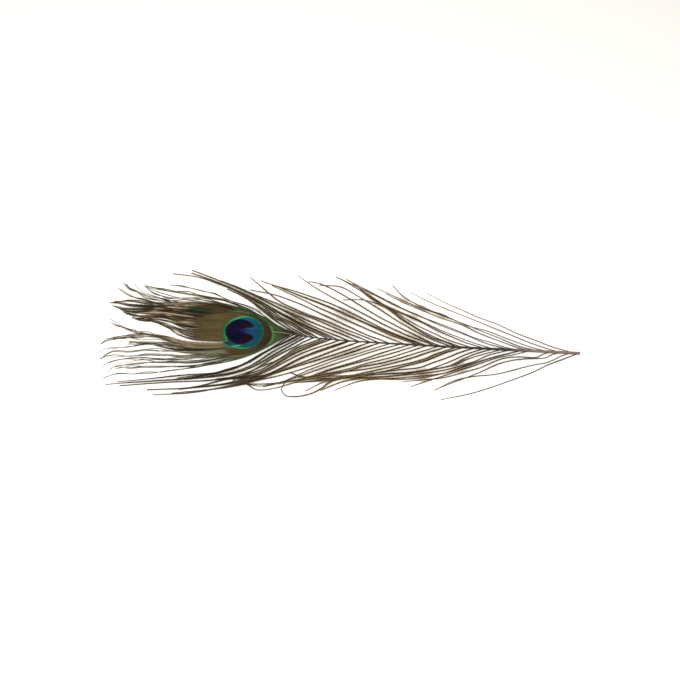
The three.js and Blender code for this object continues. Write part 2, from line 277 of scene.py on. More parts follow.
upperEye = {
    "name": "upper_eye",
    "seed": 37,
    "guides": [
        (-10, (-19, 6.6), (-26, 11), (-31, 14.4), (-37, 18.4), (-44, 22), (-58, 28), (-72, 33), (-84, 36.2),
         (-93, 37.3), (-102, 37.6)),
        (-11, (-26, 9.9), (-33, 14.6), (-40, 18.4), (-58, 26), (-66, 28.2), (-79, 29.9), (-92, 32),
         (-104, 33.5), (-113, 34.4), (-120, 36.3)),
        (-14, (-26, 8.8), (-40, 16.8), (-60, 24), (-80, 27.4), (-97, 27.5), (-106, 29.4), (-111, 30.8),
         (-118.7, 35.8)),
        (-16, (-42, 15.6), (-60, 22.4), (-80, 25.9), (-98, 26), (-108, 27.6), (-115, 29.8), (-121, 32.6),
         (-126, 37)),
        (-18, (-44, 14.9), (-60, 20.9), (-80, 24.1), (-98, 24), (-105, 25.2), (-112, 26.3), (-116.4, 27.5),
         (-122.5, 30.8), (-129.5, 33.9), (-133.3, 39.1)),
        (-20, (-46, 14.1), (-80, 22.2), (-104, 23), (-116, 24.2), (-123.4, 25.4), (-131, 28.7), (-136.8, 33)),
        (-23, (-48, 13.1), (-80, 20.3), (-112, 22.8), (-123, 24), (-128, 24), (-134, 22.4), (-140.2, 21)),
        (-26, (-50, 12.2), (-80, 18.4), (-114, 20.2), (-127, 20.4), (-133, 21.2), (-139.8, 20.9)),
        (-29, (-52, 11), (-80, 15.4), (-112, 17.4), (-125, 16.6), (-131, 17), (-138.5, 18.6)),
        (-33, (-55, 9.4), (-84, 12), (-106, 14.6), (-122, 14), (-130, 15.6), (-136, 18.4)),
        (-37, (-58, 7.4), (-84, 8.4), (-102, 11.6), (-118, 11.4), (-130, 14)),
        (-41, (-59, 4.6), (-84, 4.4), (-98, 8.6), (-110, 9.6), (-123, 9)),
        (-44, (-50, 4.2), (-54, 1.0), (-60, -1.2), (-84, 0), (-95, 4.2), (-104, 7.6), (-120, 8.6)),
        (-47, (-50, 2.6), (-53, -1.4), (-56.4, -4.1), (-60, -4.9), (-66, -5.2), (-82, -4.4), (-91, -0.8),
         (-100, 4.4), (-112, 8.2)),
    ],
    # how far along X each guide stays knit into the vane
    "vaneEnd": [-22, -34, -58, -70, -82, -100, -120, -127, -124, -116, -104, -92, -86, -82],
    "vaneSpacing": 0.8,  # mm from barb to barb in the vane
    "clump": 0.7,        # how closely loose barbs cling to the nearest guide
    "shortest": 0.975,   # length of the shortest barbs between two guides, as a share of theirs
    "outerBare": 0.55,   # how much less down the outermost ones carry
    "coreWidth": (0.5, 0.52),
    "barbule": 1.35,
    "barbuleEvery": 0.28,
    "barbuleWidth": 0.24,
    "vaneBarbule": 1.35,
    "vaneBarbuleEvery": 0.2,
    "vaneBarbuleWidth": 0.34,
    # colours of the barbs outside the ringed eye, from the outer edge (0) to the middle (1)
    "bands": [(0.0, (0.050, 0.062, 0.024)), (0.12, (0.110, 0.070, 0.032)), (0.3, (0.070, 0.046, 0.022)),
              (0.45, (0.105, 0.068, 0.032)), (0.6, (0.072, 0.050, 0.024)), (0.75, (0.120, 0.082, 0.042)),
              (0.9, (0.080, 0.060, 0.030)), (1.0, (0.120, 0.090, 0.046))],
    "bandsInRing": 0.0,  # how far the bands show through the bronze ring at its left
}

lowerEye = {
    "name": "lower_eye",
    "seed": 41,
    "guides": [
        (-14, (-42, -15), (-74, -25.9), (-97, -29.4), (-113, -31.6), (-126, -33.2), (-133, -36.2)),
        (-16, (-44, -14.2), (-76, -24.4), (-96, -26.2), (-113, -27), (-127, -28.4)),
        (-18, (-46, -13.4), (-80, -21.9), (-106, -22.8), (-122, -25.4), (-128, -27), (-133, -31.4)),
        (-21, (-48, -12.2), (-80, -19.9), (-103, -20.2), (-118, -21.2), (-127, -23), (-132.5, -25.4),
         (-136.5, -29.6)),
        (-24, (-50, -11), (-82, -17.4), (-105, -18), (-121, -19.5), (-134, -20.5), (-138, -22.6)),
        (-28, (-46, -8.6), (-60, -12.1), (-85, -14.6), (-106, -13.4), (-120, -15.9), (-131, -16.6),
         (-138.5, -22)),
        (-31, (-47, -7.4), (-60, -10.9), (-86, -12.8), (-105, -10.6), (-120, -11.6), (-130, -14), (-136, -16),
         (-139.5, -19.4)),
        (-34, (-48, -6.2), (-60, -9.9), (-88, -11), (-104, -9), (-121, -9.2)),
        (-39, (-48, -4.6), (-54, -8), (-60, -9), (-84, -9.8), (-97, -6), (-108, -4.2), (-120, -5.4),
         (-132, -7), (-138, -8.6), (-141, -11.4)),
        (-43, (-49, -2.6), (-54, -7), (-60, -8.2), (-76, -8.9), (-92, -6), (-106, -3), (-118, -3.4),
         (-130, -6.2), (-137, -8)),
        (-47, (-49.8, 2), (-52.3, -1.9), (-55.4, -5), (-58, -6.3), (-62, -7.1), (-68, -7.5), (-84, -6.8),
         (-98, -3.2), (-112, -1.9), (-122, -0.3), (-130, 3), (-139, 8.4)),
    ],
    "vaneEnd": [-44, -46, -54, -64, -76, -86, -90, -94, -96, -94, -90],
    "vaneSpacing": 0.8,  # mm from barb to barb in the vane
    "clump": 0.66,
    "shortest": 0.94,
    "outerBare": 0.0,
    "coreWidth": (0.5, 0.26),
    "barbule": 0.8,
    "barbuleEvery": 0.26,
    "barbuleWidth": 0.24,
    "vaneBarbule": 1.35,
    "vaneBarbuleEvery": 0.2,
    "vaneBarbuleWidth": 0.34,
    "bands": [(0.0, (0.030, 0.026, 0.015)), (0.2, (0.040, 0.046, 0.023)), (0.36, (0.190, 0.190, 0.125)),
              (0.5, (0.310, 0.300, 0.215)), (0.57, (0.014, 0.024, 0.010)), (0.66, (0.020, 0.030, 0.012)),
              (0.74, (0.360, 0.290, 0.180)), (0.84, (0.060, 0.042, 0.020)), (1.0, (0.360, 0.280, 0.170))],
    "bandsInRing": 0.7,
}


def guideLine(guide):
    root, *points = guide
    return smoothLine([(root, shaftY(root)), *points], lineSteps)


# What all loose barbs have in common. For ripple, sway and uneven it is how many turns, and how much.
looseHabit = {
    "tipHeight": 0.3,
    "archShare": (0.55, 1.0),   # least and most that a barb takes of its piece's arch
    "archPeak": 0.8,            # below 1, the arch is highest nearer the shaft
    "ripple": (7, 0.12),        # up and down
    "rippleFrom": 0.15,         # share of the barb until they are full
    "sway": (9, 0.25),          # to the sides
    "swayFrom": 0.2,
    "drift": (0.05, 0.6),       # shares of its length between which a barb moves from one guide to the next
    "keep": (0.78, 0.98),       # length of barbs between guides, as a share of the guide's
    "uneven": (8, 0.25),        # how the length of the barbules varies along a barb
    "bareAlong": (20, 110),     # where along X the barbs by the quill lose their down
    "tipLoss": 0.3,             # what the barbules lose in length towards the tip
    "tipFrom": (0.5, 0.95),
    "boldRoot": 0.6,            # how much of its extra a stout barb has at the root
    "lean": (0.62, 0.2),        # angle between barbule and barb, and what a veil adds to it
    "veilLength": 0.5,          # what a veil adds to the barbules' length
    "veilThins": 0.35,          # and takes from their width
    "byEye": (45, 5),           # roots along X between which bareStart goes from its first to its second
    "besideEye": (8, -8),       # and between which a barb counts as one beside the eye
}


def looseHeight(line, rootX, arch, rng):
    # out of the shaft's side, up in an arch, down to the surface at the tip
    habit = looseHabit
    share = np.linspace(0, 1, len(line))
    bow = arch * rng.uniform(*habit["archShare"]) * np.sin(np.pi * share ** habit["archPeak"])
    ripple = wander(rng, len(line), *habit["ripple"]) * softStep(share, 0, habit["rippleFrom"])
    rise = (shaftMiddle(rootX) - habit["tipHeight"]) * (1 - share) ** 2
    return habit["tipHeight"] + rise + bow + ripple


def veilAt(piece, line):
    # 0 to 1: how strongly barbules are drawn out into a veil at each point of a barb
    total = np.zeros(len(line))
    for centre, size in piece["veils"]:
        total += np.exp(-(((line - centre) / size) ** 2).sum(1))
    return np.clip(total, 0, 1)


def looseBarbs(piece):
    rng = np.random.default_rng(piece["seed"])
    habit = looseHabit
    share = np.linspace(0, 1, lineSteps)
    lines = [guideLine(g) for g in piece["guides"]]
    roots = [g[0] for g in piece["guides"]]
    plans = list(zip(roots, lines))
    for number, atRoot, atTip in piece["between"]:
        over = atRoot + (atTip - atRoot) * softStep(share, *habit["drift"])
        line = lines[number] * (1 - over)[:, None] + lines[number + 1] * over[:, None]
        root = roots[number] * (1 - atRoot) + roots[number + 1] * atRoot
        keep = int(lineSteps * rng.uniform(*habit["keep"]))
        plans.append((root, evenly(line[:keep], lineSteps)))
    bareFar, bareNear = piece["bareStart"]
    lean, veilLean = habit["lean"]
    strands = []
    for root, line in plans:
        sway = wander(rng, lineSteps, *habit["sway"]) * softStep(share, 0, habit["swayFrom"])
        line = line + leftOf(line) * sway[:, None]
        veil = veilAt(piece, line)
        # by the quill a stout barb is stout at its tip rather than at its root
        quill = softStep(root, *piece["bareRoots"])
        bold = piece["bold"].get(root, 1)
        boldRoot = habit["boldRoot"] - habit["boldRoot"] * quill
        thick, fine = (w * (1 - piece["thinBy"] * quill) for w in piece["coreWidth"])
        fuzz = piece["barbule"] * min(1, bold ** 2) * np.exp(wander(rng, lineSteps, *habit["uneven"]))
        fuzz *= 1 - piece["bareBy"] * quill * softStep(line[:, 0], *habit["bareAlong"]) * (1 - veil)
        fuzz *= 1 - habit["tipLoss"] * softStep(share, *habit["tipFrom"])
        strands.append({
            "root": root,
            "rank": softStep(root, *habit["besideEye"]),  # 1 for those that start beside the eye
            "path": np.column_stack([line, looseHeight(line, root, piece["arch"], rng)]),
            "core": (thick * bold ** boldRoot, fine * bold ** (1 + quill)),
            "barbule": fuzz * (1 + habit["veilLength"] * veil),
            "every": piece["barbuleEvery"] * np.ones(lineSteps),
            "width": piece["barbuleWidth"] * (1 - habit["veilThins"] * veil),
            "angle": lean + veilLean * veil,
            "veil": veil,
            "bare": bareFar + (bareNear - bareFar) * softStep(root, *habit["byEye"]),
        })
    return strands


# The same for the barbs of both halves of the eye.
eyeHabit = {
    "vaneRoot": (-4, -10),      # where along X the vane begins, and is fully knit
    "vaneFade": 9,              # mm to either side of its end in which it comes loose
    "measuredAt": (-40, -50, -58, -66),  # along X, for the widest place between two guides
    "endScatter": 3,            # mm that the vane's end varies from barb to barb
    "undecided": 0.2,           # how far off the middle a barb may be and still choose the farther guide
    "clumpFrom": (14, -16),     # mm from the vane's end, where barbs start to cling to a guide, and do
    "looseFrom": (6, -24),      # and where they start to wander
    "sway": (13, 0.6),
    "lift": 0.35,               # mm from the hump to the middle of a barb
    "rootLift": (0.3, 0.1),     # at the root a share of the shaft's height more, less some mm
    "ripple": (6, 0.5),
    "rippleEnd": 0.9,           # share of the barb from which it comes down again
    "outerRank": (0.45, 0.2),   # where across the vane the down gets less towards the outer edge
    "uneven": (8, 0.25),
    "lean": (0.45, 0.35),       # angle between barbule and barb, and what the vane adds to it
    "bare": 0.8,                # mm of bare stem at the root
}


def vaneShare(x, end):
    # 1 where the barbs are knit into the eye's vane, 0 where they hang loose past it
    fade = eyeHabit["vaneFade"]
    return softStep(x, end - fade, end + fade) * softStep(x, *eyeHabit["vaneRoot"])


def eyeBarbs(piece):
    rng = np.random.default_rng(piece["seed"])
    habit = eyeHabit
    lines = np.array([guideLine(g) for g in piece["guides"]])
    roots = np.array([g[0] for g in piece["guides"]], float)
    ends = np.array(piece["vaneEnd"], float)
    gaps = len(lines) - 1
    # as many barbs between two guides as the widest place between them in the vane asks for
    across = [[line[np.argmin(np.abs(line[:, 0] - x))] for x in habit["measuredAt"]] for line in lines]
    room = np.linalg.norm(np.diff(np.array(across), axis=0), axis=2).max(1)
    perGap = np.maximum(2, np.round(room / piece["vaneSpacing"])).astype(int)
    shares = [(gap, k / perGap[gap]) for gap in range(gaps) for k in range(perGap[gap])]
    run = np.linspace(0, 1, lineSteps)
    clumpStart, clumpFull = habit["clumpFrom"]
    looseStart, looseFull = habit["looseFrom"]
    rootShare, rootDrop = habit["rootLift"]
    lean, vaneLean = habit["lean"]
    strands = []
    for gap, share in [*shares, (gaps - 1, 1.0)]:
        end = ends[gap] * (1 - share) + ends[gap + 1] * share + rng.normal(0, habit["endScatter"])
        # knit in, the barbs lie evenly between two guides; past the vane's end they cling to the nearer one
        near = round(share + rng.uniform(-habit["undecided"], habit["undecided"]))
        clump = softStep(lines[gap][:, 0], end + clumpStart, end + clumpFull) * piece["clump"]
        blend = share + (near - share) * clump
        line = lines[gap] * (1 - blend)[:, None] + lines[gap + 1] * blend[:, None]
        keep = int(lineSteps * (1 if share in (0, 1) else rng.uniform(piece["shortest"], 1.0)))
        line = evenly(line[:keep], lineSteps)
        out = softStep(line[:, 0], end + looseStart, end + looseFull)
        line = line + leftOf(line) * (wander(rng, lineSteps, *habit["sway"]) * out)[:, None]
        lift = habit["lift"] + (shaftHeight(roots[gap]) * rootShare - rootDrop) * (1 - run) ** 2
        ripple = np.abs(wander(rng, lineSteps, *habit["ripple"])) * out
        ripple = ripple * softStep(run, 1.0, habit["rippleEnd"])
        vane = vaneShare(line[:, 0], end)
        rank = (gap + share) / gaps
        outer = piece["outerBare"] * softStep(rank, *habit["outerRank"])
        fuzz = piece["barbule"] * (1 - outer) * np.exp(wander(rng, lineSteps, *habit["uneven"]))
        every, width = piece["barbuleEvery"], piece["barbuleWidth"]
        strands.append({
            "root": roots[gap],
            "rank": rank,  # 0 at the vane's outer edge, 1 in its middle
            "path": np.column_stack([line, lift + humpAt(line[:, 0], line[:, 1]) + ripple]),
            "core": piece["coreWidth"],
            "barbule": fuzz + (piece["vaneBarbule"] - fuzz) * vane,
            "every": every + (piece["vaneBarbuleEvery"] - every) * vane,
            "width": width + (piece["vaneBarbuleWidth"] - width) * vane,
            "angle": lean + vaneLean * vane,
            "veil": 1 - vane,
            "bare": habit["bare"],
        })
    return strands


def frameAlong(path):
    # unit vectors along a path, to its left, and up
    along = np.gradient(path, axis=0)
    along /= np.linalg.norm(along, axis=1)[:, None]
    left = np.cross((0, 0, 1), along)
    left /= np.linalg.norm(left, axis=1)[:, None]
    return along, left, np.cross(along, left)


stem = {
    "sides": 5,
    "step": 1.6,           # mm from ring to ring
    "fewestRings": 8,
    "taper": 0.8,
    "pointFrom": 0.88,     # share of its length from which it narrows to a point
    "point": 0.75,         # what it loses in width there
    "mapWidth": 0.06,      # of its strip of the bake map, to either side
}


def growCore(strand):
    # a barb's own stem, as a fine closed tube
    sides = stem["sides"]
    length = np.linalg.norm(np.diff(strand["path"], axis=0), axis=1).sum()
    path = evenly(strand["path"], max(stem["fewestRings"], int(length / stem["step"])))
    left, up = frameAlong(path)[1:]
    share = np.linspace(0, 1, len(path))
    thick, fine = strand["core"]
    point = 1 - stem["point"] * softStep(share, stem["pointFrom"], 1)
    radius = (fine + (thick - fine) * (1 - share) ** stem["taper"]) / 2 * point
    turns = np.arange(sides) / sides * 2 * np.pi
    ring = left[:, None] * np.cos(turns)[None, :, None] + up[:, None] * np.sin(turns)[None, :, None]
    spots = (path[:, None] + ring * radius[:, None, None]).reshape(-1, 3)
    a = np.arange(len(path) - 1)[:, None] * sides
    i = np.arange(sides)[None, :]
    j = (i + 1) % sides
    quads = np.stack([a + i, a + i + sides, a + j + sides, a + j], -1).reshape(-1, 4)
    first = np.array([[0, k, k + 1] for k in range(1, sides - 1)])
    last = (len(path) - 1) * sides + first[:, ::-1]
    return {
        "spots": spots,
        "tris": np.concatenate([quads[:, [0, 1, 2]], quads[:, [0, 2, 3]], first, last]),
        "along": np.repeat(share, sides),
        "reach": np.zeros(len(spots)),
        "veil": np.zeros(len(spots)),
        "across": 0.5 + stem["mapWidth"] * np.tile(np.cos(turns), len(path)),
        "length": length,
    }


barbule = {
    "clear": 0.2,          # mm at both ends of a barb that carry none
    "jitter": 0.35,        # how far they stand off even places, as a share of their spacing
    "length": (0.75, 1.15),     # shortest and longest, as a share of what the piece asks for
    "tipLoss": 0.3,        # what they lose in length at the very tip of a barb
    "tipEdge": 4,          # the higher, the nearer the tip that begins
    "atRoot": 0.2,         # their length on the bare root, as a share
    "leanScatter": 0.12,
    "cup": (-0.1, 0.22),   # how far they turn up out of the vane
    "offStem": 0.08,       # mm from the middle of the stem to where they start
    "ridge": 0.07,         # mm that they are high there
    "mapAcross": (0.08, 0.08, 0.12, 0.46),  # their four corners on the strip of the bake map
}


def growBarbules(strand, side, rng):
    # fine closed spikes down one side of a barb, leaning towards its tip
    path = strand["path"]
    run = np.concatenate([[0.0], np.cumsum(np.linalg.norm(np.diff(path, axis=0), axis=1))])
    length = run[-1]
    every = strand["every"]
    count = np.concatenate([[0.0], np.cumsum(np.diff(run) * 2 / (every[1:] + every[:-1]))])
    number = int(count[-1])
    jitter = rng.uniform(-barbule["jitter"], barbule["jitter"], number)
    at = np.interp(np.linspace(0.5, number - 0.5, number) + jitter, count, run)
    at = at[(at > barbule["clear"]) & (at < length - barbule["clear"])]

    def read(values):
        return np.interp(at, run, values)

    def readPoints(values):
        return np.stack([read(values[:, k]) for k in range(3)], 1)

    along, left, up = (readPoints(v) for v in frameAlong(path))
    share = at / length
    tipLoss = 1 - barbule["tipLoss"] * share ** barbule["tipEdge"]
    reach = read(strand["barbule"]) * rng.uniform(*barbule["length"], len(at)) * tipLoss
    reach *= barbule["atRoot"] + (1 - barbule["atRoot"]) * softStep(at, 0, strand["bare"])
    half = read(strand["width"])[:, None] / 2
    scatter = rng.uniform(-barbule["leanScatter"], barbule["leanScatter"], len(at))
    lean = (read(strand["angle"]) + scatter)[:, None]
    cup = rng.uniform(*barbule["cup"], len(at))[:, None]
    aside = left * side
    way = along * np.cos(lean) + (aside * np.cos(cup) + up * np.sin(cup)) * np.sin(lean)
    root = readPoints(path) + aside * barbule["offStem"]
    ridge, tip = root + up * barbule["ridge"], root + way * reach[:, None]
    corners = [root - along * half, root + along * half, ridge, tip]
    k = np.arange(len(at))[:, None] * 4
    tris = np.stack([k + [0, 1, 3], k + [1, 2, 3], k + [2, 0, 3], k + [0, 2, 1]], 1).reshape(-1, 3)
    return {
        "spots": np.stack(corners, 1).reshape(-1, 3),
        "tris": tris[:, ::-1] if side == 1 else tris,
        "along": np.repeat(share, 4),
        "reach": np.tile([0.0, 0.0, 0.0, 1.0], len(at)),
        "veil": np.repeat(read(strand["veil"]), 4),
        "across": 0.5 + side * np.tile(barbule["mapAcross"], len(at)),
        "length": length,
    }


mapMargin = 0.01          # kept free at both sides of the bake map


def buildBarbs(name, strands, finish, seed):
    rng = np.random.default_rng(seed)
    longest = max(np.linalg.norm(np.diff(s["path"], axis=0), axis=1).sum() for s in strands)
    columns = {key: [] for key in ("spots", "tris", "along", "reach", "veil", "own", "rank", "map")}
    used = 0
    for number, strand in enumerate(strands):
        tone = rng.uniform()
        for part in (growCore(strand), growBarbules(strand, 1, rng), growBarbules(strand, -1, rng)):
            size = len(part["spots"])
            for key in ("spots", "along", "reach", "veil"):
                columns[key].append(part[key])
            columns["tris"].append(part["tris"] + used)
            columns["own"].append(np.full(size, tone))
            columns["rank"].append(np.full(size, strand["rank"]))
            # every barb has its own strip of the bake map: along it one way, across its barbules the other
            u = mapMargin + (1 - 2 * mapMargin) * part["along"] * part["length"] / longest
            v = (number + part["across"]) / len(strands)
            columns["map"].append(np.column_stack([u, v]))
            used += size
    columns = {key: np.concatenate(parts) for key, parts in columns.items()}
    spots = columns["spots"]
    spots[:, :2] -= restPoint
    spots[:, 2] = np.maximum(spots[:, 2], lowest)
    mesh = makeMesh(name, spots * mm, columns["tris"])
    for label in ("along", "reach", "veil", "own", "rank"):
        layer = mesh.attributes.new(label, "FLOAT", "POINT")
        layer.data.foreach_set("value", columns[label].astype(np.float32))
    bakeMap = mesh.uv_layers.new(name="OFBake")
    bakeMap.data.foreach_set("uv", columns["map"][columns["tris"].ravel()].astype(np.float32).ravel())
    return placePiece(name, mesh, [finish])


def makeMesh(name, spots, tris):
    mesh = bpy.data.meshes.new(name)
    mesh.vertices.add(len(spots))
    mesh.vertices.foreach_set("co", spots.astype(np.float32).ravel())
    mesh.loops.add(len(tris) * 3)
    mesh.loops.foreach_set("vertex_index", tris.astype(np.int32).ravel())
    mesh.polygons.add(len(tris))
    mesh.polygons.foreach_set("loop_start", np.arange(0, len(tris) * 3, 3, dtype=np.int32))
    mesh.update(calc_edges=True)
    mesh.validate()
    return mesh


def placePiece(name, mesh, finishes):
    piece = bpy.data.objects.new(name, mesh)
    bpy.context.scene.collection.objects.link(piece)
    for finish in finishes:
        mesh.materials.append(finish)
    print(name, "has", len(mesh.polygons), "faces")
    return piece


def buildShaft(horn, pith):
    sides = shaft["sides"]
    x = np.linspace(shaft["line"][0][0], shaft["line"][-1][0], shaft["steps"])
    y, wide, high, low = shaftY(x), shaftWidth(x), shaftHeight(x), shaftBottom(x)
    turns = np.arange(sides) / sides * 2 * np.pi
    spots = np.zeros((len(x), sides, 3))
    for i, turn in enumerate(turns):
        groove = max(0.0, -math.sin(turn)) ** shaft["grooveEdge"] * shaft["groove"]
        spots[:, i, 0] = x
        spots[:, i, 1] = y + math.cos(turn) * wide / 2
        spots[:, i, 2] = low + high * (0.5 + math.sin(turn) / 2 + groove)
    tris = []
    for k in range(len(x) - 1):
        for i in range(sides):
            a, b = k * sides + i, k * sides + (i + 1) % sides
            tris += [(a, b + sides, b), (a, a + sides, b + sides)]
    tip = (len(x) - 1) * sides
    tris += [(tip, tip + i + 1, tip + i) for i in range(1, sides - 1)]
    # the cut end: a rim, then the pith set back inside it
    spots = spots.reshape(-1, 3)
    ring = spots[:sides]
    rim = ring.mean(0) + (ring - ring.mean(0)) * shaft["rim"]
    sunk = rim - (shaft["sunk"], 0, 0)
    pithFrom = len(tris) + 2 * sides
    a = len(spots)
    spots = np.vstack([spots, rim, sunk, sunk.mean(0)])
    around = [(i, (i + 1) % sides) for i in range(sides)]
    tris += [(i, a + j, a + i) for i, j in around] + [(i, j, a + j) for i, j in around]
    b = a + sides
    tris += [(a + i, b + j, b + i) for i, j in around] + [(a + i, a + j, b + j) for i, j in around]
    tris += [(b + i, b + j, b + sides) for i, j in around]
    spots[:, :2] -= restPoint
    mesh = makeMesh("shaft", spots * mm, np.array(tris))
    isPith = np.arange(len(tris)) >= pithFrom
    mesh.polygons.foreach_set("material_index", isPith.astype(np.int32))
    mesh.polygons.foreach_set("use_smooth", ~isPith)
    return placePiece("shaft", mesh, [horn, pith])


class Shades:
    # short calls for the nodes that the finishes use, each giving an output socket
    def __init__(self, tree):
        self.tree = tree

    def feed(self, socket, value):
        # from another node's socket, or a fixed number or colour
        if isinstance(value, bpy.types.NodeSocket):
            self.tree.links.new(value, socket)
        else:
            socket.default_value = (*value, 1) if isinstance(value, tuple) else value

    def make(self, kind, inputs):
        node = self.tree.nodes.new("ShaderNode" + kind)
        for key, value in inputs.items():
            self.feed(node.inputs[key], value)
        return node

    def math(self, kind, *values):
        node = self.make("Math", dict(enumerate(values)))
        node.operation = kind
        return node.outputs[0]

    def times(self, a, b):
        return self.math("MULTIPLY", a, b)

    def plus(self, a, b):
        return self.math("ADD", a, b)

    def minus(self, a, b):
        return self.math("SUBTRACT", a, b)

    def away(self, a, b):
        # how far a is from b, either way
        return self.math("ABSOLUTE", self.minus(a, b))

    def ramp(self, value, ends):
        # 0 at the first end, 1 at the second, smooth between; with four ends, back to 0 over the last two
        node = self.make("MapRange", {"Value": value, "From Min": ends[0], "From Max": ends[1]})
        node.interpolation_type = "SMOOTHSTEP"
        rise = node.outputs["Result"]
        return self.times(rise, self.ramp(value, (ends[3], ends[2]))) if len(ends) == 4 else rise

    def mix(self, share, a, b):
        node = self.tree.nodes.new("ShaderNodeMix")
        node.data_type = "RGBA"
        # inputs 6 and 7 and output 2 are its sockets for colours
        for key, value in (("Factor", share), (6, a), (7, b)):
            self.feed(node.inputs[key], value)
        return node.outputs[2]

    def read(self, name):
        node = self.make("Attribute", {})
        node.attribute_name = name
        return node.outputs["Fac"]

    def spot(self):
        return self.make("TexCoord", {}).outputs["Object"]

    def planMm(self, spot):
        # X and Y of a spot in plan millimetres
        split = self.make("SeparateXYZ", {0: spot})
        return [self.math("MULTIPLY_ADD", split.outputs[k], 1 / mm, float(restPoint[k])) for k in (0, 1)]

    def noise(self, spot, scale, detail):
        return self.make("TexNoise", {"Vector": spot, "Scale": scale, "Detail": detail}).outputs["Fac"]

    def join(self, a, b):
        return self.make("CombineXYZ", {0: a, 1: b}).outputs[0]

    def bands(self, value, stops):
        node = self.make("ValToRGB", {0: value})
        ramp = node.color_ramp
        while len(ramp.elements) < len(stops):
            ramp.elements.new(0.5)
        for element, (spot, colour) in zip(ramp.elements, stops):
            element.position = spot
            element.color = (*colour, 1)
        return node.outputs[0]

    def ellipse(self, x, y, shape):
        # 0 at the centre, 1 on the ellipse
        (cx, cy), (rx, ry) = shape["centre"], shape["radii"]
        a = self.math("DIVIDE", self.minus(x, cx), rx)
        b = self.math("DIVIDE", self.minus(y, cy), ry)
        return self.math("SQRT", self.plus(self.times(a, a), self.times(b, b)))


def newMaterial(name, roughness, specular):
    # gives the material, its colour socket and the calls for its nodes
    material = bpy.data.materials.new(name)
    material.use_nodes = True
    shader = material.node_tree.nodes["Principled BSDF"]
    shader.inputs["Roughness"].default_value = roughness
    shader.inputs["Specular IOR Level"].default_value = specular
    return material, shader.inputs["Base Color"], Shades(material.node_tree)


# Where a finish below has two ends, it is none at the first and full at the second.
looseLook = {
    "stem": (0.014, 0.008, 0.0045),
    "stemGreen": (0.009, 0.010, 0.004),
    "stemGrey": (0.024, 0.020, 0.017),
    "brown": (0.150, 0.092, 0.038),
    "olive": (0.076, 0.060, 0.022),
    "fringe": (0.860, 0.610, 0.290),
    "fringeOlive": (0.680, 0.510, 0.250),
    "veil": (0.420, 0.260, 0.105),
    "down": (0.300, 0.260, 0.210),
    "tip": (0.030, 0.020, 0.011),
    "besideEye": (0.030, 0.034, 0.013),
    "bundle": (0.060, 0.036, 0.018),
    "nearEye": (25, -25),        # along X, in plan mm
    "nearQuill": (80, 140),
    "patchGrain": (180, 3),
    "patches": (0.6, 1.1),       # how strong a patch is before it turns olive, and has
    "stemToDown": (0.1, 0.42),   # along a barbule
    "downToFringe": (0.3, 0.7),
    "tipFrom": (0.35, 1.0),      # along a barb
    "besideTo": (0.75, 0.35),
    "besideShare": 0.8,
    "bundleX": (-12, -32),
    "bundleY": (-26, -31),
    "bundleShare": 0.75,
}


def looseFinish():
    material, paint, s = newMaterial("loose barb", roughness=0.6, specular=0.15)
    look = looseLook
    spot = s.spot()
    x, y = s.planMm(spot)
    own, along, reach = s.read("own"), s.read("along"), s.read("reach")
    # towards the eye the barbs turn olive and their stems dark green, some more than others
    nearEye = s.ramp(x, look["nearEye"])
    patchy = s.plus(own, s.noise(spot, *look["patchGrain"]))
    olive = s.times(nearEye, s.ramp(patchy, look["patches"]))
    down = s.mix(olive, look["brown"], look["olive"])
    fringe = s.mix(olive, look["fringe"], look["fringeOlive"])
    down = s.mix(s.ramp(reach, look["downToFringe"]), down, fringe)
    down = s.mix(s.read("veil"), down, look["veil"])
    # those that start beside the eye are dark all through until they are well past it
    beside = s.times(s.read("rank"), s.ramp(along, look["besideTo"]))
    down = s.mix(s.times(beside, look["besideShare"]), down, look["besideEye"])
    # and so are those that bundle along the lower edge, below the eye
    bundled = s.times(s.ramp(x, look["bundleX"]), s.ramp(y, look["bundleY"]))
    down = s.mix(s.times(bundled, look["bundleShare"]), down, look["bundle"])
    nearQuill = s.ramp(x, look["nearQuill"])
    down = s.mix(nearQuill, down, look["down"])
    stalk = s.mix(s.times(nearEye, own), look["stem"], look["stemGreen"])
    stalk = s.mix(s.ramp(along, look["tipFrom"]), stalk, look["tip"])
    stalk = s.mix(nearQuill, stalk, look["stemGrey"])
    s.feed(paint, s.mix(s.ramp(reach, look["stemToDown"]), stalk, down))
    return material


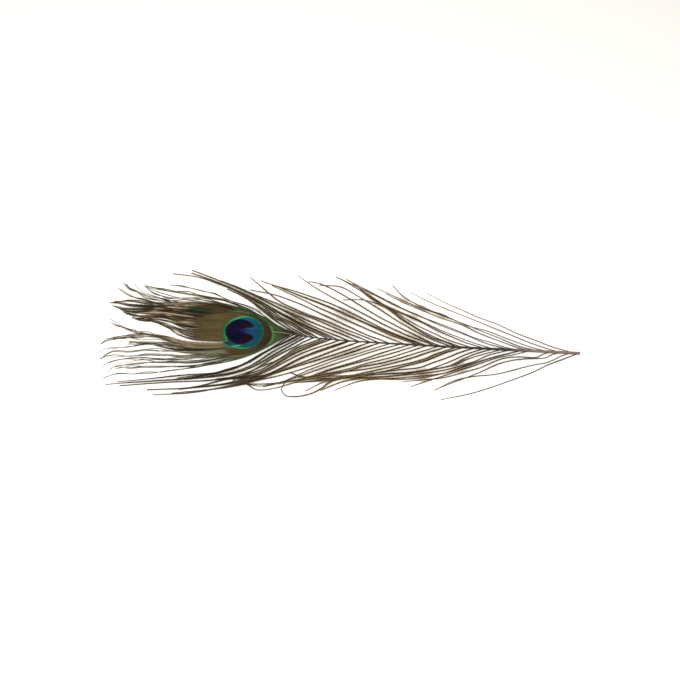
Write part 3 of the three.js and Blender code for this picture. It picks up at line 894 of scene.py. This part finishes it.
# The ringed eye, as ellipses in plan mm, then the colours in and around it. Below the colours is where
# each comes in, with four ends when it goes again. Names in X or Y are in plan mm, those in Edge count from
# an ellipse's centre (0) to its outline (1) and on, and those in Streak follow the streaks.
eyeLook = {
    "heart": {"centre": (-48.0, 2.6), "radii": (10.4, 9.7)},
    "notch": {"apex": (-48.6, 3.4), "slope": 0.36},
    "egg": {"centre": (-45.3, 2.4), "radii": (13.3, 12.5)},
    "bronze": {"centre": (-55.0, 1.2), "radii": (27.6, 15.9)},
    "greenDrift": {"centre": (-78.5, 18.2), "radii": (10.5, 3.6)},
    "navy": (0.002, 0.001, 0.024),
    "maroon": (0.016, 0.003, 0.006),
    "leftGreen": (0.002, 0.030, 0.024),
    "violet": (0.018, 0.010, 0.160),
    "blue": (0.010, 0.110, 0.210),
    "blueRight": (0.004, 0.070, 0.135),
    "teal": (0.004, 0.150, 0.160),
    "tealRight": (0.004, 0.085, 0.085),
    "rim": (0.034, 0.400, 0.200),
    "rimRight": (0.018, 0.120, 0.098),
    "innerLine": (0.080, 0.380, 0.240),
    "bronzeRight": (0.048, 0.029, 0.013),
    "bronzeLeft": (0.135, 0.100, 0.040),
    "bronzeGreen": (0.070, 0.102, 0.038),
    "rust": (0.095, 0.054, 0.024),
    "edgeStripe": (0.155, 0.135, 0.058),
    "paleGreen": (0.150, 0.290, 0.120),
    "darkGreen": (0.012, 0.042, 0.012),
    "driftGreen": (0.024, 0.064, 0.024),
    "green": (0.048, 0.094, 0.034),
    "greenDark": (0.020, 0.026, 0.010),
    "greenPale": (0.120, 0.150, 0.075),
    "greenLow": (0.078, 0.130, 0.056),
    "rootBrown": (0.036, 0.029, 0.014),
    "crownDark": (0.013, 0.011, 0.005),
    "tan": (0.560, 0.460, 0.370),
    "fringe": (0.480, 0.360, 0.220),
    "stem": (0.008, 0.006, 0.004),
    "ragged": (900, 2),          # grain and detail
    "raggedBy": 1.3,             # mm
    "unevenBy": 0.8,
    "streaks": (90, 5),          # how many across the vane, and how often they change along a barb
    "streakGrain": (1, 2),
    "slipX": (-45, -56),
    "slipY": (-4.8, -6.4),
    "slipBy": 4.5,               # mm
    "slipRim": 0.6,
    "crownStreak": (0.46, 0.6),
    "crownShare": 0.85,
    "tanStreak": (0.48, 0.37),
    "tanX": (-72, -92),
    "driftEdge": (1.2, 0.5),
    "driftStreak": (0.58, 0.46),
    "greenEdge": (1.55, 1.3),
    "greenX": (-62, -50),
    "darkStreak": (0.48, 0.60),
    "paleStreak": (0.44, 0.32),
    "lowY": (3.5, 0.5),
    "lowShare": 0.6,
    "stripeEdge": (1.05, 1.08, 1.12, 1.16),
    "stripeX": (-56, -52, -45, -41),
    "crescentEdge": (1.03, 1.055, 1.075, 1.13),
    "crescentX": (-33, -29),
    "crescentMiddle": 1.5,       # its Y
    "crescentEnds": (9.5, 4.5),  # mm above and below that
    "crescentShare": 0.6,
    "rootX": (-24, -14),
    "outlineEdge": (1.06, 1.02),
    "outlineX": (-66, -56),
    "ringEdge": (1.03, 0.99),
    "ringX": (-82, -66),
    "bronzeX": (-32, -52),
    "rustX": (-60, -54),
    "rustY": (-6, -11),
    "ringStreak": (0.45, 0.6),
    "ringStreakShare": 0.4,
    "oliveEdge": (1.32, 1.08),
    "oliveX": (-50, -56),
    "bandsX": (-55, -62),
    "bandsSlant": (1.92, 22.3),  # how that line leans with Y, and how far it starts to the left
    "slantRank": (0.62, 0.54),
    "eggEdge": (1.03, 0.99),
    "insideEdge": (0.965, 0.92),
    "toRightX": (-45, -35),
    "rimX": (-48, -37),
    "broadX": (-41, -48),
    "broadY": (8, 13),
    "broadBy": 0.05,             # of the egg's size
    "tealEdge": (1.08, 1.38),
    "tealY": (-4.5, -7.5),
    "leftGreenX": (-52, -57),
    "lineX": (-58, -55, -49, -45),
    "lineSlope": 0.23,
    "lineY": 3.0,                # where it would cross X 0
    "lineWidth": (0.8, 0.3),     # mm from its middle
    "spikeX": (-54, -50, -46, -38),
    "spikeWidth": (2.4, 0.4),
    "fray": 3,                   # mm
    "notchWidth": (-0.6, 0.6),
    "pupilEdge": (1.04, 0.96),
    "maroonX": (-50, -44),
    "maroonStreak": (0.42, 0.55),
    "darkRimEdge": (0.8, 0.98),
    "darkRimX": (-50, -55),
    "fringeX": (-40, -60),
    "stemReach": (-0.6, 0.35),   # along a barbule
    "fringeReach": (0.3, 0.9),
}


def eyeFinish(name, bands, bandsInRing):
    material, paint, s = newMaterial(name, roughness=0.5, specular=0.05)
    look = eyeLook

    def over(value, ends):
        return s.ramp(value, look[ends])

    spot = s.spot()
    x, y = s.planMm(spot)
    rank, along, reach = s.read("rank"), s.read("along"), s.read("reach")
    # the rings are a little ragged, from barb to barb and along each one
    ragged = s.times(s.minus(s.noise(spot, *look["ragged"]), 0.5), look["raggedBy"])
    x = s.plus(x, s.plus(ragged, s.times(s.read("own"), look["unevenBy"])))
    acrossVane, alongBarb = look["streaks"]
    streak = s.noise(s.join(s.times(rank, acrossVane), s.times(along, alongBarb)), *look["streakGrain"])
    heart, bronze, drift = (s.ellipse(x, y, look[k]) for k in ("heart", "bronze", "greenDrift"))
    # below the slit the barbs have slipped outwards, and the egg with them
    slipped = s.times(over(y, "slipY"), over(x, "slipX"))
    egg = s.ellipse(s.plus(x, s.times(slipped, look["slipBy"])), y, look["egg"])
    # outside the rings
    banded = s.bands(rank, bands)
    colour = s.mix(s.times(over(streak, "crownStreak"), look["crownShare"]), banded, look["crownDark"])
    colour = s.mix(s.times(over(streak, "tanStreak"), over(x, "tanX")), colour, look["tan"])
    inDrift = s.times(over(drift, "driftEdge"), over(streak, "driftStreak"))
    colour = s.mix(inDrift, colour, look["driftGreen"])
    green = s.mix(over(streak, "darkStreak"), look["green"], look["greenDark"])
    green = s.mix(over(streak, "paleStreak"), green, look["greenPale"])
    green = s.mix(s.times(over(y, "lowY"), look["lowShare"]), green, look["greenLow"])
    colour = s.mix(s.times(over(bronze, "greenEdge"), over(x, "greenX")), colour, green)
    stripe = s.times(over(bronze, "stripeEdge"), over(x, "stripeX"))
    colour = s.mix(stripe, colour, look["edgeStripe"])
    middle = over(s.away(y, look["crescentMiddle"]), "crescentEnds")
    crescent = s.times(over(bronze, "crescentEdge"), middle)
    crescent = s.times(crescent, s.times(over(x, "crescentX"), look["crescentShare"]))
    colour = s.mix(crescent, colour, look["paleGreen"])
    colour = s.mix(over(x, "rootX"), colour, look["rootBrown"])
    # bronze ring, rusty below, olive to the left
    colour = s.mix(s.times(over(bronze, "outlineEdge"), over(x, "outlineX")), colour, look["darkGreen"])
    ring = s.mix(over(x, "bronzeX"), look["bronzeRight"], look["bronzeLeft"])
    ring = s.mix(s.times(over(y, "rustY"), over(x, "rustX")), ring, look["rust"])
    streaked = s.times(over(streak, "ringStreak"), look["ringStreakShare"])
    ring = s.mix(streaked, ring, look["bronzeRight"])
    ring = s.mix(s.times(over(egg, "oliveEdge"), over(x, "oliveX")), ring, look["bronzeGreen"])
    lean, start = look["bandsSlant"]
    slant = s.times(s.plus(s.times(y, lean), start), over(rank, "slantRank"))
    ring = s.mix(s.times(over(s.plus(x, slant), "bandsX"), bandsInRing), ring, banded)
    colour = s.mix(s.times(over(bronze, "ringEdge"), over(x, "ringX")), colour, ring)
    # the egg: bright rim, teal, blue, then the pupil with its notch
    rim = s.mix(over(x, "rimX"), look["rim"], look["rimRight"])
    rim = s.mix(s.times(slipped, look["slipRim"]), rim, look["rimRight"])
    colour = s.mix(over(egg, "eggEdge"), colour, rim)
    toRight = over(x, "toRightX")
    blue = s.mix(toRight, look["blue"], look["blueRight"])
    teal = s.mix(toRight, look["teal"], look["tealRight"])
    inside = s.mix(over(heart, "tealEdge"), blue, teal)
    inside = s.mix(over(y, "tealY"), inside, look["tealRight"])
    inside = s.mix(over(x, "leftGreenX"), inside, look["leftGreen"])
    offLine = s.away(y, s.plus(s.times(x, look["lineSlope"]), look["lineY"]))
    inside = s.mix(s.times(over(offLine, "lineWidth"), over(x, "lineX")), inside, look["innerLine"])
    # the rim is widest along the top
    broad = s.times(s.times(over(y, "broadY"), over(x, "broadX")), look["broadBy"])
    colour = s.mix(over(s.plus(egg, broad), "insideEdge"), colour, inside)
    apexX, apexY = look["notch"]["apex"]
    wedge = s.times(s.minus(x, apexX), look["notch"]["slope"])
    aside = s.away(y, apexY)
    colour = s.mix(s.times(over(aside, "spikeWidth"), over(x, "spikeX")), colour, look["violet"])
    frayed = s.times(s.minus(streak, 0.5), look["fray"])
    besideNotch = over(s.plus(s.minus(aside, wedge), frayed), "notchWidth")
    dark = s.mix(s.times(over(x, "maroonX"), over(streak, "maroonStreak")), look["navy"], look["maroon"])
    dark = s.mix(s.times(over(heart, "darkRimEdge"), over(x, "darkRimX")), dark, look["leftGreen"])
    colour = s.mix(s.times(over(heart, "pupilEdge"), besideNotch), colour, dark)
    # past the vane the barbules end in a pale fringe, and stems are darker than what they carry
    loose = s.times(s.read("veil"), over(x, "fringeX"))
    colour = s.mix(s.times(loose, over(reach, "fringeReach")), colour, look["fringe"])
    s.feed(paint, s.mix(over(reach, "stemReach"), look["stem"], colour))
    return material


def shaftFinish():
    material, paint, s = newMaterial("shaft horn", roughness=0.4, specular=0.3)
    spot = s.spot()
    x = s.planMm(spot)[0]
    mottle = s.times(s.minus(s.noise(spot, *shaft["mottle"]), 0.5), shaft["mottleReach"])
    pale = s.ramp(s.plus(x, mottle), (shaft["paleFrom"], shaft["paleTo"]))
    colour = s.mix(pale, shaft["hornDark"], shaft["hornPale"])
    # near the eye, a green tint and a painted highlight along the shaft
    s.feed(paint, s.mix(s.ramp(x, shaft["greenHighlightAt"]), colour, shaft["hornGreenHighlight"]))
    return material


def pithFinish():
    material, paint, s = newMaterial("pith", roughness=0.8, specular=0.2)
    dark = tuple(c * shaft["pithShade"] for c in shaft["pith"])
    s.feed(paint, s.mix(s.noise(s.spot(), *shaft["pithGrain"]), dark, shaft["pith"]))
    return material


pieces = [(buildShaft(shaftFinish(), pithFinish()), "shaft")]
loose = looseFinish()
for barbs in (upperBarbs, lowerBarbs):
    strands = looseBarbs(barbs)
    byQuill = [strand for strand in strands if strand["root"] > barbs["splitAt"]]
    byEye = [strand for strand in strands if strand["root"] <= barbs["splitAt"]]
    pieces.append((buildBarbs(barbs["name"] + "_quill", byQuill, loose, barbs["seed"] + 1), "barb"))
    pieces.append((buildBarbs(barbs["name"] + "_middle", byEye, loose, barbs["seed"] + 2), "barb"))
for barbs in (upperEye, lowerEye):
    finish = eyeFinish(barbs["name"].replace("_", " ") + " barb", barbs["bands"], barbs["bandsInRing"])
    pieces.append((buildBarbs(barbs["name"], eyeBarbs(barbs), finish, barbs["seed"] + 1), "eye"))
for piece, slot in pieces:
    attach(piece, "root")
    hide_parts("feather")
print("feather built")


studio = {
    "floor": (0.92, 0.92, 0.93),
    "floorSize": 24.0,
    "floorHeight": -0.0002,    # just clear of the feather
    "sky": 0.62,
    "skyColour": (1.0, 0.955, 0.88),
    "lampSize": 0.5,
    "lampPower": 13.5,
    "lampColour": (1.0, 0.965, 0.90),
    "lampPlace": (-0.12, -0.42, 1.1),
}


def buildStudio():
    half = studio["floorSize"] / 2
    mesh = bpy.data.meshes.new("floor")
    corners = [(-half, -half, 0), (half, -half, 0), (half, half, 0), (-half, half, 0)]
    mesh.from_pydata(corners, [], [(0, 1, 2, 3)])
    floor = bpy.data.objects.new("floor", mesh)
    bpy.context.scene.collection.objects.link(floor)
    floor.location.z = studio["floorHeight"]
    paper, paint, s = newMaterial("floor paper", roughness=0.9, specular=0.1)
    s.feed(paint, studio["floor"])
    mesh.materials.append(paper)
    world = bpy.data.worlds.new("sky")
    bpy.context.scene.world = world
    world.use_nodes = True
    glow = world.node_tree.nodes["Background"].inputs
    glow["Color"].default_value = (*studio["skyColour"], 1)
    glow["Strength"].default_value = studio["sky"]
    lamp = bpy.data.lights.new("softbox", "AREA")
    lamp.size = studio["lampSize"]
    lamp.energy = studio["lampPower"]
    lamp.color = studio["lampColour"]
    softbox = bpy.data.objects.new("softbox", lamp)
    bpy.context.scene.collection.objects.link(softbox)
    softbox.location = studio["lampPlace"]
    softbox.rotation_mode = "QUATERNION"
    softbox.rotation_quaternion = (-Vector(studio["lampPlace"])).to_track_quat("-Z", "Y")


camera = {
    "target": (-4.03, 0.41),   # mm, on the surface
    "distance": 431.4,
    "azimuth": -5.83,          # degrees, 0 looks along +Y
    "elevation": 61.46,
    "roll": -8.11,
    "lens": 33.15,
    "sensor": 36,
    "clip": (0.01, 50),        # metres
}


def placeCamera():
    data = bpy.data.cameras.new("camera")
    data.sensor_width = camera["sensor"]
    data.lens = camera["lens"]
    data.clip_start, data.clip_end = camera["clip"]
    holder = bpy.data.objects.new("camera", data)
    bpy.context.scene.collection.objects.link(holder)
    a, e, r = (math.radians(camera[k]) for k in ("azimuth", "elevation", "roll"))
    back = Vector((math.sin(a) * math.cos(e), -math.cos(a) * math.cos(e), math.sin(e)))
    level = Vector((math.cos(a), math.sin(a), 0))
    upright = back.cross(level)
    right = level * math.cos(r) - upright * math.sin(r)
    up = level * math.sin(r) + upright * math.cos(r)
    spot = Vector((*camera["target"], 0)) * mm + back * camera["distance"] * mm
    turn = Matrix((right, up, back)).transposed().to_4x4()
    holder.matrix_world = Matrix.Translation(spot) @ turn
    bpy.context.scene.camera = holder


buildStudio()
placeCamera()
bpy.context.scene.view_settings.view_transform = "Standard"
print("studio set")
